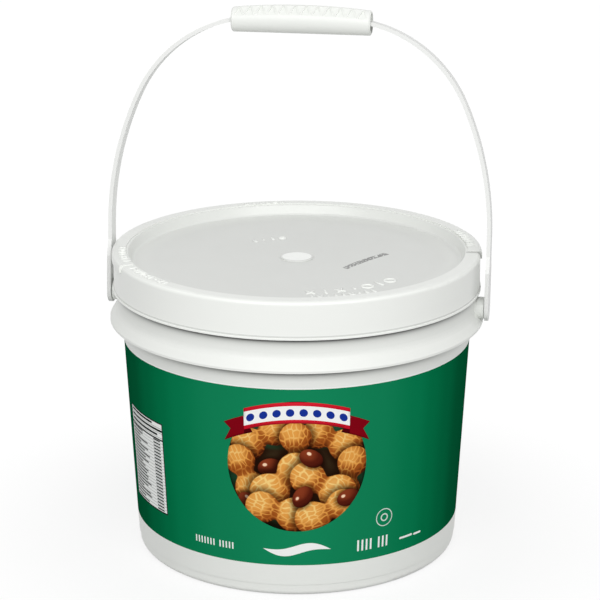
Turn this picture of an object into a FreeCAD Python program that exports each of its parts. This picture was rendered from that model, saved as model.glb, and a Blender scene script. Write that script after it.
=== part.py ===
import FreeCAD, Part
import math
import os
import Sketcher

# A round food pail of ten kilograms, shut by its pressed-on lid, with a swinging plastic bail.
# Units are millimetres.  The origin is the middle of the base, +Z is up and the bail's
# pivots lie on a line along X.  The pail is sealed, so it is one solid with its contents.

SIZES = [
    # Wall of the pail, which flares upwards
    ("wall_step", 2.956, "how far the wall behind the skirt is set in from the neck"),
    ("base_inset", 13.0, "how far the wall at the floor is set in from the neck"),
    ("foot_height", 9.0, "height of the set-back foot"),
    ("foot_step", 0.6, "how far the foot is set back"),
    ("foot_round", 4.0, "rounding of the bottom edge"),
    # Printed film moulded into the wall
    ("label_low", 24.7, "lower edge of the film"),
    ("label_drop", 13.8, "distance from the skirt's lower edge down to the film"),
    ("label_film", 0.4, "thickness of the film"),
    ("label_seam", 0.6, "angle left open at the film's seam"),
    # Skirt below the lid, flared like a bell
    ("skirt_drop", 23.2, "distance from the lid's lower edge down to the skirt's"),
    ("skirt_reach", 3.2, "how far the skirt's lip stands outside the lid's wall"),
    ("skirt_lip", 1.6, "height of the upright lip"),
    ("skirt_rise", 10.0, "height of the flare above the lower edge"),
    ("skirt_hollow", 10.8, "height of the hollow behind the skirt"),
    ("skirt_wall", 1.8, "thickness of the skirt at its lip"),
    ("skirt_sweep", 9.0, "radius of the curve from the flare into the neck"),
    # Lid
    ("lid_radius", 135.6, "outside of the lid's wall"),
    ("lid_top", 226.0, "top of the lid's rim"),
    ("lid_depth", 27.6, "distance from the rim's top down to the lid's lower edge"),
    ("lid_wall", 1.8, "thickness of the lid"),
    ("lid_fit", 0.4, "clearance between the lid's wall and the pail's neck"),
    ("lid_round", 3.0, "outer rounding of the rim"),
    ("recess_depth", 7.5, "depth of the panel below the rim"),
    ("recess_mouth", 11.1, "width of the rim's flat top"),
    ("recess_draft", 3.0, "how far the recess narrows towards the panel"),
    ("recess_round", 2.2, "curve between the recess wall and the panel"),
    ("bead_reach", 0.9, "how far the bead stands out of the lid's wall"),
    ("bead_height", 1.6, "height of the bead"),
    ("edge_round", 0.45, "rounding of the lid's smaller edges"),
    ("neck_wall", 4.6, "thickness of the pail's rim inside the lid"),
    ("band_inset", 2.0, "how far the rear band stays back from the recess"),
    ("band_rise", 0.8, "how far the rear band stands above the rim"),
    ("band_reach", 1.2, "how far the rear band stands out of the lid's wall"),
    ("band_drop", 5.0, "depth of the rear band's outer lip"),
    ("band_start", 5.0, "angle from +X at which the rear band starts"),
    ("band_turn", 206.0, "angle that the rear band covers"),
    ("gate_radius", 12.3, "radius of the disc in the middle of the panel"),
    ("gate_rise", 0.9, "height of the disc"),
    ("gate_round", 0.5, "rounding of the disc's edge"),
    # Pivots
    ("boss_radius", 8.0, "radius of the pail's pivot bosses"),
    ("boss_clear", 3.4, "clearance between the bosses and the lid above them"),
    ("boss_reach", 1.2, "how far a boss stands out of the skirt's lip"),
    ("pin_radius", 4.0, "radius of the bail's pins"),
    ("pin_depth", 6.0, "length of a pin inside its boss"),
    ("pin_fit", 0.08, "radial clearance of a pin in its bore"),
    ("pin_end", 0.5, "clearance past the end of a pin"),
    # Bail
    ("bail_gap", 0.5, "clearance between bail and boss"),
    ("bail_thickness", 2.8, "thickness of the strap"),
    ("bail_width", 12.5, "width of the strap"),
    ("bail_rise", 168.5, "height of the upright strap's middle above the lid's rim"),
    ("bail_lean", 6.0, "angle that the resting bail leans back from upright"),
    ("shoulder_lean", 12.0, "how far the shoulders lean in before the crown"),
    ("shoulder_rise", 55.0, "height that the shoulders add to the arch"),
    ("paddle_width", 19.0, "width of the strap's lower ends"),
    ("paddle_height", 27.0, "height of the widened end above the pivot"),
    ("paddle_taper", 12.0, "height over which the end narrows to the strap"),
    # Grip
    ("grip_length", 102.5, "length of the grip"),
    ("grip_run", 21.0, "length of the strap's curve inside each end of the grip"),
    ("grip_side", 2.85, "how far the grip's ends reach past the strap's edges"),
    ("grip_swell", 1.3, "growth of the grip's radius from its ends to its middle"),
    ("grip_fit", 0.2, "clearance of the strap's edges in the grip's bore"),
    ("grip_sink", 2.0, "how far the bore's axis lies below the strap's top stretch"),
    ("grip_round", 1.0, "rounding of the grip's ends"),
    ("pocket_pitch", 4.15, "distance between neighbouring triangular pockets"),
    ("pocket_base", 6.6, "width of a pocket at its wide end"),
    ("pocket_reach", 9.0, "length of a pocket across the grip"),
    ("pocket_depth", 1.2, "depth of a pocket at its middle"),
    ("pocket_margin", 4.5, "least distance from a pocket's middle to the grip's end"),
]
ROW_TILT = 45.0  # lean of each row of pockets from the upright
CAP_SLOPE = 40.0  # taper of the grip's end caps

doc = FreeCAD.newDocument("pail")
sheet = doc.addObject("Spreadsheet::Sheet", "sizes")
for row, (alias, value, meaning) in enumerate(SIZES, start=1):
    sheet.set(f"A{row}", meaning)
    sheet.set(f"B{row}", str(value))
    sheet.setAlias(f"B{row}", alias)
doc.recompute()


def size(name):
    """Value of one cell of the sheet."""
    return float(getattr(sheet, name))


def number(expression):
    """Present value of an expression in the sheet's names."""
    return float(sheet.evalExpression(expression))


def origin_plane(body, role):
    """The body's own origin plane with this role."""
    return next(item for item in body.Origin.OriginFeatures if item.Role == role)


def sketch_on(body, role, name, offset="0"):
    """Sketch on an origin plane of the body, moved along its normal by an expression."""
    sketch = body.newObject("Sketcher::SketchObject", name)
    sketch.AttachmentSupport = (origin_plane(body, role), [""])
    sketch.MapMode = "FlatFace"
    sketch.setExpression(".AttachmentOffset.Base.z", offset)
    return sketch


def pin_point(sketch, edge, end, across, up):
    """Holds one end of an edge at a pair of expressions."""
    for kind, axis, expression in (("DistanceX", -2, across), ("DistanceY", -1, up)):
        if expression == "0":
            sketch.addConstraint(Sketcher.Constraint("PointOnObject", edge, end, axis))
            continue
        held = Sketcher.Constraint(kind, -1, 1, edge, end, number(expression))
        index = sketch.addConstraint(held)
        sketch.setExpression(f"Constraints[{index}]", expression)


def outline(sketch, corners):
    """Closed loop of straight edges through corners, each a pair of expressions."""
    points = [FreeCAD.Vector(number(across), number(up), 0) for across, up in corners]
    count = len(points)
    for index, point in enumerate(points):
        sketch.addGeometry(Part.LineSegment(point, points[(index + 1) % count]))
    for index in range(count):
        joined = Sketcher.Constraint("Coincident", index, 2, (index + 1) % count, 1)
        sketch.addConstraint(joined)
    for index, (across, up) in enumerate(corners):
        pin_point(sketch, index, 1, across, up)


def circle(sketch, across, up, radius):
    """Circle whose centre and radius are expressions."""
    centre = FreeCAD.Vector(number(across), number(up), 0)
    ring = Part.Circle(centre, FreeCAD.Vector(0, 0, 1), number(radius))
    edge = sketch.addGeometry(ring)
    pin_point(sketch, edge, 3, across, up)
    held = sketch.addConstraint(Sketcher.Constraint("Radius", edge, number(radius)))
    sketch.setExpression(f"Constraints[{held}]", radius)


def revolve(body, sketch, name, angle="360"):
    """Turns a sketch about its upright axis."""
    turned = body.newObject("PartDesign::Revolution", name)
    turned.Profile = sketch
    turned.ReferenceAxis = (sketch, ["V_Axis"])
    turned.setExpression("Angle", angle)
    doc.recompute()
    return turned


def pad(body, sketch, name, length, reverse=False, both_ways=False):
    """Pads a sketch along its normal."""
    padded = body.newObject("PartDesign::Pad", name)
    padded.Profile = sketch
    padded.setExpression("Length", length)
    padded.Reversed = reverse
    padded.Midplane = both_ways
    doc.recompute()
    return padded


def ring_edges(feature, radius, height):
    """Names of the feature's edges round Z with this radius, at this height."""
    found = []
    for index, edge in enumerate(feature.Shape.Edges, start=1):
        curve = edge.Curve
        if not isinstance(curve, Part.Circle) or abs(abs(curve.Axis.z) - 1) > 1e-6:
            continue
        if abs(curve.Radius - radius) < 1e-4 and abs(curve.Center.z - height) < 1e-4:
            found.append(f"Edge{index}")
    return found


def round_rings(body, feature, name, rings, radius):
    """Fillets the edges that run round Z at each (radius, height) pair of expressions."""
    names = []
    for ring_radius, height in rings:
        names += ring_edges(feature, number(ring_radius), number(height))
    rounded = body.newObject("PartDesign::Fillet", name)
    rounded.Base = (feature, names)
    rounded.setExpression("Radius", radius)
    doc.recompute()
    return rounded


SKIRT_RADIUS = "(sizes.lid_radius + sizes.skirt_reach)"
NECK_RADIUS = "(sizes.lid_radius - sizes.lid_wall - sizes.lid_fit)"
LID_LOW = "(sizes.lid_top - sizes.lid_depth)"
PANEL_TOP = "(sizes.lid_top - sizes.recess_depth)"
MOUTH_RADIUS = "(sizes.lid_radius - sizes.recess_mouth)"
PANEL_RADIUS = f"({MOUTH_RADIUS} - sizes.recess_draft)"
SKIRT_LOW = f"({LID_LOW} - sizes.skirt_drop)"
HOLLOW_TOP = f"({SKIRT_LOW} + sizes.skirt_hollow)"
LABEL_HIGH = f"({SKIRT_LOW} - sizes.label_drop)"
PIVOT_HEIGHT = f"({LID_LOW} - sizes.boss_clear - sizes.boss_radius)"
BOSS_FACE = f"({SKIRT_RADIUS} + sizes.boss_reach)"
BAIL_INSIDE = f"({BOSS_FACE} + sizes.bail_gap)"
BAIL_MIDDLE = f"({BAIL_INSIDE} + sizes.bail_thickness / 2)"
BAIL_TOP = "(sizes.lid_top + sizes.bail_rise)"
CROWN_FLAT = "(sizes.grip_length / 2 - sizes.grip_run)"
CROWN_RADIUS = f"({BAIL_MIDDLE} - {CROWN_FLAT} - sizes.shoulder_lean)"
CROWN_DROP = f"({CROWN_RADIUS} - sqrt({CROWN_RADIUS} ^ 2 - sizes.grip_run ^ 2))"
LEG_TOP = f"({BAIL_TOP} - {CROWN_RADIUS} - sizes.shoulder_rise)"
GRIP_END = "(sizes.bail_width / 2 + sizes.grip_side)"
GRIP_MIDDLE = f"({GRIP_END} + sizes.grip_swell)"
BORE_HEIGHT = f"({BAIL_TOP} - sizes.grip_sink)"
# The strap lies above the bore's axis in the middle and below it at the grip's ends.
STRAP_REACH = (
    f"(max(sizes.grip_sink; {CROWN_DROP} - sizes.grip_sink) + sizes.bail_thickness / 2)"
)
BORE_RADIUS = f"(sqrt((sizes.bail_width / 2) ^ 2 + {STRAP_REACH} ^ 2) + sizes.grip_fit)"


def wall_at(height):
    """Expression for the pail's outer radius at a height."""
    growth = "(sizes.base_inset - sizes.wall_step)"
    return f"({NECK_RADIUS} - sizes.base_inset + {growth} * ({height}) / {HOLLOW_TOP})"


def make_pail():
    """The pail with its contents: wall, skirt, rim and the two bored pivot bosses."""
    body = doc.addObject("PartDesign::Body", "pail")
    seat = "(sizes.lid_top - sizes.lid_wall)"
    contents = f"({PANEL_TOP} - sizes.lid_wall)"
    foot = wall_at("sizes.foot_height")
    low = wall_at("sizes.label_low")
    high = wall_at(LABEL_HIGH)
    base = wall_at("0")
    flare_top = f"({SKIRT_LOW} + sizes.skirt_rise)"
    profile = sketch_on(body, "XZ_Plane", "pail_profile")
    outline(
        profile,
        [
            ("0", "0"),
            (f"{base} - sizes.foot_step", "0"),
            (f"{foot} - sizes.foot_step", "sizes.foot_height"),
            (foot, "sizes.foot_height"),
            (low, "sizes.label_low"),
            (f"{low} - sizes.label_film", "sizes.label_low"),
            (f"{high} - sizes.label_film", LABEL_HIGH),
            (high, LABEL_HIGH),
            (wall_at(HOLLOW_TOP), HOLLOW_TOP),
            (f"{SKIRT_RADIUS} - sizes.skirt_wall", SKIRT_LOW),
            (SKIRT_RADIUS, SKIRT_LOW),
            (SKIRT_RADIUS, f"{SKIRT_LOW} + sizes.skirt_lip"),
            (NECK_RADIUS, flare_top),
            (NECK_RADIUS, seat),
            (f"{NECK_RADIUS} - sizes.neck_wall", seat),
            (f"{NECK_RADIUS} - sizes.neck_wall", contents),
            ("0", contents),
        ],
    )
    turned = revolve(body, profile, "pail_turned")
    foot_edge = [(f"{base} - sizes.foot_step", "0")]
    footed = round_rings(body, turned, "foot_rounding", foot_edge, "sizes.foot_round")
    round_rings(body, footed, "neck_sweep", [(NECK_RADIUS, flare_top)], "sizes.skirt_sweep")

    boss = sketch_on(body, "YZ_Plane", "boss_circle")
    circle(boss, "0", PIVOT_HEIGHT, "sizes.boss_radius")
    pad(body, boss, "bosses", f"2 * {BOSS_FACE}", both_ways=True)

    depth = "(sizes.pin_depth + sizes.pin_end)"
    for side, plane_offset in (("right", BOSS_FACE), ("left", f"-{BOSS_FACE}")):
        bore = sketch_on(body, "YZ_Plane", f"bore_{side}", plane_offset)
        circle(bore, "0", PIVOT_HEIGHT, "sizes.pin_radius + sizes.pin_fit")
        before = body.Shape.Volume
        hole = body.newObject("PartDesign::Pocket", f"pivot_{side}")
        hole.Profile = bore
        hole.setExpression("Length", depth)
        hole.Reversed = side == "left"
        doc.recompute()
        if before - body.Shape.Volume < 1:
            raise RuntimeError(f"the {side} pivot bore cut nothing")
    return body


def make_label():
    """The printed film that fills the shallow seat in the wall, its seam under one pivot."""
    body = doc.addObject("PartDesign::Body", "label")
    low = wall_at("sizes.label_low")
    high = wall_at(LABEL_HIGH)
    profile = sketch_on(body, "XZ_Plane", "film_profile")
    outline(
        profile,
        [
            (f"{low} - sizes.label_film", "sizes.label_low"),
            (low, "sizes.label_low"),
            (high, LABEL_HIGH),
            (f"{high} - sizes.label_film", LABEL_HIGH),
        ],
    )
    film = revolve(body, profile, "film", "360 - sizes.label_seam")
    film.Midplane = True
    doc.recompute()
    return body


def make_lid():
    """The lid: wall with its bead, rim, sunken panel, gate disc and the raised rear band."""
    body = doc.addObject("PartDesign::Body", "lid")
    under_rim = "(sizes.lid_top - sizes.lid_wall)"
    under_panel = f"({PANEL_TOP} - sizes.lid_wall)"
    inner_wall = "(sizes.lid_radius - sizes.lid_wall)"
    bead = "(sizes.lid_radius + sizes.bead_reach)"
    bead_top = f"({LID_LOW} + sizes.bead_height)"
    profile = sketch_on(body, "XZ_Plane", "lid_profile")
    outline(
        profile,
        [
            ("0", under_panel),
            (f"{PANEL_RADIUS} + sizes.lid_wall", under_panel),
            (f"{MOUTH_RADIUS} + sizes.lid_wall", under_rim),
            (inner_wall, under_rim),
            (inner_wall, LID_LOW),
            (bead, LID_LOW),
            (bead, bead_top),
            ("sizes.lid_radius", bead_top),
            ("sizes.lid_radius", "sizes.lid_top"),
            (MOUTH_RADIUS, "sizes.lid_top"),
            (PANEL_RADIUS, PANEL_TOP),
            ("0", PANEL_TOP),
        ],
    )
    turned = revolve(body, profile, "lid_turned")
    rim = [("sizes.lid_radius", "sizes.lid_top")]
    rounded = round_rings(body, turned, "rim_rounding", rim, "sizes.lid_round")
    panel_edge = [(PANEL_RADIUS, PANEL_TOP)]
    curved = round_rings(body, rounded, "panel_curve", panel_edge, "sizes.recess_round")
    soft_edges = [(MOUTH_RADIUS, "sizes.lid_top"), (bead, bead_top), (bead, LID_LOW)]
    round_rings(body, curved, "soft_edges", soft_edges, "sizes.edge_round")

    band_top = "(sizes.lid_top + sizes.band_rise)"
    band_root = "(sizes.lid_top - sizes.lid_wall / 2)"
    band_inner = f"({MOUTH_RADIUS} + sizes.band_inset)"
    band_outer = "(sizes.lid_radius + sizes.band_reach)"
    lip_inner = "(sizes.lid_radius - sizes.lid_wall / 2)"
    lip_low = "(sizes.lid_top - sizes.band_drop)"
    band = sketch_on(body, "XZ_Plane", "band_profile")
    turn = FreeCAD.Rotation(FreeCAD.Vector(0, 1, 0), size("band_start"))
    band.AttachmentOffset = FreeCAD.Placement(FreeCAD.Vector(), turn)
    outline(
        band,
        [
            (band_inner, band_root),
            (lip_inner, band_root),
            (lip_inner, lip_low),
            (band_outer, lip_low),
            (band_outer, band_top),
            (band_inner, band_top),
        ],
    )
    banded = revolve(body, band, "rear_band", "sizes.band_turn")
    crest = [(band_outer, band_top)]
    round_rings(body, banded, "band_rounding", crest, "sizes.lid_round - sizes.band_rise")

    gate = sketch_on(body, "XY_Plane", "gate_circle", PANEL_TOP)
    circle(gate, "0", "0", "sizes.gate_radius")
    gated = pad(body, gate, "gate_disc", "sizes.gate_rise")
    gate_edge = [("sizes.gate_radius", f"{PANEL_TOP} + sizes.gate_rise")]
    round_rings(body, gated, "gate_rounding", gate_edge, "sizes.gate_round")
    return body


def lean_back(part):
    """Swings an upright part of the handle back about the pivots, to its place at rest."""
    pivot = FreeCAD.Vector(0, 0, number(PIVOT_HEIGHT))
    swing = FreeCAD.Rotation(FreeCAD.Vector(1, 0, 0), -size("bail_lean"))
    part.Placement = FreeCAD.Placement(FreeCAD.Vector(), swing, pivot)


def arch_path(sketch):
    """Half of the strap's middle line: leg, wide shoulder arc, crown arc and level stretch."""
    middle = number(BAIL_MIDDLE)
    leg_top = number(LEG_TOP)
    crown = number(CROWN_RADIUS)
    lean = FreeCAD.Vector(size("shoulder_lean"), size("shoulder_rise"), 0)
    # An arc that leans in by x while it rises by y turns through twice atan(x / y).
    turn = 2 * FreeCAD.Vector(0, 1, 0).getAngle(lean)
    spread = lean.Length ** 2 / (2 * lean.x)
    normal = FreeCAD.Vector(0, 0, 1)
    foot = FreeCAD.Vector(middle, number(PIVOT_HEIGHT), 0)
    shoulder = FreeCAD.Vector(middle - crown - spread, leg_top, 0)
    bend = FreeCAD.Vector(spread, 0, 0)
    bend = FreeCAD.Rotation(normal, math.degrees(turn)).multVec(bend)
    crown_centre = shoulder + bend
    sketch.addGeometry(Part.LineSegment(foot, FreeCAD.Vector(middle, leg_top, 0)))
    wide = Part.Circle(shoulder, normal, crown + spread)
    sketch.addGeometry(Part.ArcOfCircle(wide, 0, turn))
    tight = Part.Circle(crown_centre, normal, crown)
    sketch.addGeometry(Part.ArcOfCircle(tight, turn, math.pi / 2))
    top = number(BAIL_TOP)
    level = FreeCAD.Vector(crown_centre.x, top, 0)
    sketch.addGeometry(Part.LineSegment(level, FreeCAD.Vector(0, top, 0)))
    pin_point(sketch, 0, 1, BAIL_MIDDLE, PIVOT_HEIGHT)
    pin_point(sketch, 0, 2, BAIL_MIDDLE, LEG_TOP)
    sketch.addConstraint(Sketcher.Constraint("Tangent", 0, 2, 1, 1))
    sketch.addConstraint(Sketcher.Constraint("Tangent", 1, 2, 2, 1))
    sketch.addConstraint(Sketcher.Constraint("Tangent", 2, 2, 3, 1))
    pin_point(sketch, 3, 1, CROWN_FLAT, BAIL_TOP)
    pin_point(sketch, 3, 2, "0", BAIL_TOP)


def make_bail():
    """The flat strap bent into an arch, with widened ends and the pins that it turns on."""
    body = doc.addObject("PartDesign::Body", "bail")
    path = sketch_on(body, "XZ_Plane", "arch_path")
    arch_path(path)
    half = "sizes.bail_width / 2"
    outside = f"({BAIL_INSIDE} + sizes.bail_thickness)"
    section = sketch_on(body, "XY_Plane", "strap_section", PIVOT_HEIGHT)
    outline(
        section,
        [
            (BAIL_INSIDE, f"-{half}"),
            (outside, f"-{half}"),
            (outside, half),
            (BAIL_INSIDE, half),
        ],
    )
    doc.recompute()
    strap = body.newObject("PartDesign::AdditivePipe", "strap")
    strap.Profile = section
    strap.Spine = path
    doc.recompute()

    wide = "sizes.paddle_width / 2"
    taper_low = f"({PIVOT_HEIGHT} + sizes.paddle_height)"
    taper_top = f"({taper_low} + sizes.paddle_taper)"
    plate = sketch_on(body, "YZ_Plane", "paddle_outline", BAIL_INSIDE)
    outline(
        plate,
        [
            (f"-{wide}", PIVOT_HEIGHT),
            (wide, PIVOT_HEIGHT),
            (wide, taper_low),
            (half, taper_top),
            (f"-{half}", taper_top),
            (f"-{wide}", taper_low),
        ],
    )
    paddle = pad(body, plate, "paddle", "sizes.bail_thickness")
    disc = sketch_on(body, "YZ_Plane", "disc_circle", BAIL_INSIDE)
    circle(disc, "0", PIVOT_HEIGHT, wide)
    end_disc = pad(body, disc, "end_disc", "sizes.bail_thickness")
    shaft = sketch_on(body, "YZ_Plane", "pin_circle", BAIL_INSIDE)
    circle(shaft, "0", PIVOT_HEIGHT, "sizes.pin_radius")
    pin = pad(body, shaft, "pin", "sizes.bail_gap + sizes.pin_depth", reverse=True)

    both = body.newObject("PartDesign::Mirrored", "both_halves")
    both.Originals = [strap, paddle, end_disc, pin]
    both.MirrorPlane = (origin_plane(body, "YZ_Plane"), [""])
    body.Tip = both
    lean_back(body)
    doc.recompute()
    return body


def grip_radius(along):
    """Outer radius of the grip at a distance from its middle."""
    share = 2 * along / size("grip_length")
    return number(GRIP_END) + size("grip_swell") * (1 - share ** 2)


def make_grip():
    """The barrel-shaped grip round the strap, with triangular pockets over its upper half."""
    barrel = doc.addObject("PartDesign::Body", "barrel")
    keel = f"({BORE_HEIGHT} - {GRIP_END})"
    shoulder = "(sizes.grip_length / 2 - sizes.grip_round)"
    stations = [
        ("start", f"-{shoulder}", GRIP_END),
        ("middle", "0", GRIP_MIDDLE),
        ("finish", shoulder, GRIP_END),
    ]
    rings = []
    for name, along, radius in stations:
        ring = sketch_on(barrel, "YZ_Plane", f"ring_{name}", along)
        circle(ring, "0", f"{keel} + {radius}", radius)
        rings.append(ring)
    doc.recompute()
    loft = barrel.newObject("PartDesign::AdditiveLoft", "barrel_loft")
    loft.Profile = rings[0]
    loft.Sections = rings[1:]
    doc.recompute()
    for side, along in (("start", f"-{shoulder}"), ("finish", shoulder)):
        ring = sketch_on(barrel, "YZ_Plane", f"cap_{side}", along)
        circle(ring, "0", BORE_HEIGHT, GRIP_END)
        cap = pad(barrel, ring, f"end_{side}", "sizes.grip_round", reverse=side == "start")
        cap.TaperAngle = -CAP_SLOPE
    doc.recompute()
    mouth = sketch_on(barrel, "YZ_Plane", "bore_circle")
    circle(mouth, "0", BORE_HEIGHT, BORE_RADIUS)
    before = barrel.Shape.Volume
    bore = barrel.newObject("PartDesign::Pocket", "bore")
    bore.Profile = mouth
    bore.Type = "ThroughAll"
    bore.Midplane = True
    doc.recompute()
    if before - barrel.Shape.Volume < 1:
        raise RuntimeError("the grip's bore cut nothing")

    pockets = []
    reach = size("grip_length") / 2 - size("pocket_margin")
    last = math.floor(reach / size("pocket_pitch"))
    for step in range(-last, last + 1):
        along = step * size("pocket_pitch")
        for row, tilt in (("front", ROW_TILT), ("rear", -ROW_TILT)):
            name = f"pocket_{row}_{step + last + 1}"
            pockets.append(make_pocket(name, along, tilt, step % 2 == 1))
    grip = doc.addObject("Part::Cut", "grip")
    cutters = doc.addObject("Part::Compound", "pockets")
    cutters.Links = pockets
    grip.Base = barrel
    grip.Tool = cutters
    lean_back(grip)
    return grip


def make_pocket(name, along, tilt, points_up):
    """Triangular cutter in the grip's side, tilted about X, its point up or down."""
    wedge = doc.addObject("Part::Wedge", name)
    for side, expression in (
        ("Xmin", "-sizes.pocket_base / 2"),
        ("Xmax", "sizes.pocket_base / 2"),
        ("Ymin", "-sizes.pocket_reach / 2"),
        ("Ymax", "sizes.pocket_reach / 2"),
        ("Zmin", "-sizes.pocket_depth"),
        ("Zmax", "sizes.pocket_depth"),
        ("Z2min", "-sizes.pocket_depth"),
        ("Z2max", "sizes.pocket_depth"),
    ):
        wedge.setExpression(side, expression)
    wedge.X2min = 0
    wedge.X2max = 0
    radius = grip_radius(along)
    centre = number(BORE_HEIGHT) + radius - number(GRIP_END)
    lean = FreeCAD.Rotation(FreeCAD.Vector(1, 0, 0), tilt)
    half_turn = 0 if points_up == (tilt > 0) else 180
    spin = FreeCAD.Rotation(FreeCAD.Vector(0, 0, 1), half_turn)
    outward = lean.multVec(FreeCAD.Vector(0, 0, radius))
    place = FreeCAD.Vector(along, 0, centre) + outward
    wedge.Placement = FreeCAD.Placement(place, lean * spin)
    return wedge


def check(parts):
    """Stops the build if an object failed or a part's shape is missing or bad."""
    for item in doc.Objects:
        if "Invalid" in item.State or "Error" in item.State:
            raise RuntimeError(f"{item.Name} failed: {item.State}")
    for part in parts:
        if part.Shape.isNull() or not part.Shape.isValid():
            raise RuntimeError(f"{part.Label} has no valid shape")
        if len(part.Shape.Solids) != 1:
            raise RuntimeError(f"{part.Label} has {len(part.Shape.Solids)} solids")


parts = [make_pail(), make_label(), make_lid(), make_bail(), make_grip()]
doc.recompute()
check(parts)
os.makedirs("parts", exist_ok=True)
for part in parts:
    part.Shape.exportStep(f"parts/{part.Label}.step")
    box = part.Shape.BoundBox
    volume = part.Shape.Volume / 1000
    print(f"{part.Label}: {volume:.1f} cm3, z {box.ZMin:.2f} to {box.ZMax:.2f}")
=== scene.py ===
"""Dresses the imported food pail: moulded white plastics, the printed film, the lid's raised
marks and ink code, with the studio that it stands in."""

import logging
import math
from collections.abc import Callable, Sequence
from dataclasses import dataclass
from enum import Enum
from typing import Union

import bmesh
import bpy
from mathutils import Matrix, Vector


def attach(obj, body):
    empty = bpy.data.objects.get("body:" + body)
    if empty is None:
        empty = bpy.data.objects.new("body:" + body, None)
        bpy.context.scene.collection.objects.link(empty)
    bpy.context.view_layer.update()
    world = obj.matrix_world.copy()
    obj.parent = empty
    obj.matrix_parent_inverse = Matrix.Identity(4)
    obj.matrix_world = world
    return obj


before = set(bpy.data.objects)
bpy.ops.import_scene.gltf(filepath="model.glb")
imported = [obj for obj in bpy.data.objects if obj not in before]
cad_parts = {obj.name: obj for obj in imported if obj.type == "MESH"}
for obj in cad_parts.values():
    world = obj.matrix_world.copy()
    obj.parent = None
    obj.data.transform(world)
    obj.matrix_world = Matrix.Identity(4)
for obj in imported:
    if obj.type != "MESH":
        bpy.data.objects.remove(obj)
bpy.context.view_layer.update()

LOG = logging.getLogger("food_pail")
MM = 0.001
FRONT_TURN = math.radians(10.0)  # from -Y towards +X, where the printed front faces

Socket = bpy.types.NodeSocket
Tree = bpy.types.NodeTree
Node = bpy.types.Node
Material = bpy.types.Material
Mesh = bmesh.types.BMesh
Piece = bpy.types.Object
Pair = tuple[float, float]
Triple = tuple[float, float, float]


def srgb(red: float, green: float, blue: float) -> Triple:
    """Linear colour of a screen colour given from 0 to 255."""
    parts = []
    for part in (red, green, blue):
        share = part / 255
        low = share / 12.92
        parts.append(low if share <= 0.04045 else ((share + 0.055) / 1.055) ** 2.4)
    return (parts[0], parts[1], parts[2])


BLACK = (0.0, 0.0, 0.0)
WHITE = srgb(244, 246, 244)


class Number:
    """A number in a node tree, on which plain arithmetic adds Math nodes."""

    def __init__(self, nodes: "Nodes", socket: Socket) -> None:
        """Keeps the nodes and the output that carries the number."""
        self.nodes = nodes
        self.socket = socket

    def __add__(self, other: "Value") -> "Number":
        """Sum."""
        return self.nodes.math("ADD", self, other)

    def __sub__(self, other: "Value") -> "Number":
        """Difference."""
        return self.nodes.math("SUBTRACT", self, other)

    def __rsub__(self, other: "Value") -> "Number":
        """Difference from a plain number."""
        return self.nodes.math("SUBTRACT", other, self)

    def __mul__(self, other: "Value") -> "Number":
        """Product."""
        return self.nodes.math("MULTIPLY", self, other)

    def __truediv__(self, other: "Value") -> "Number":
        """Quotient."""
        return self.nodes.math("DIVIDE", self, other)

    def __lt__(self, other: "Value") -> "Number":
        """1 where it is smaller, and 0 elsewhere."""
        return self.nodes.math("LESS_THAN", self, other)

    def __gt__(self, other: "Value") -> "Number":
        """1 where it is larger, and 0 elsewhere."""
        return self.nodes.math("GREATER_THAN", self, other)

    def __abs__(self) -> "Number":
        """Its size without its sign."""
        return self.nodes.math("ABSOLUTE", self)


Value = Union[Socket, Number, float, Sequence[float]]


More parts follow.
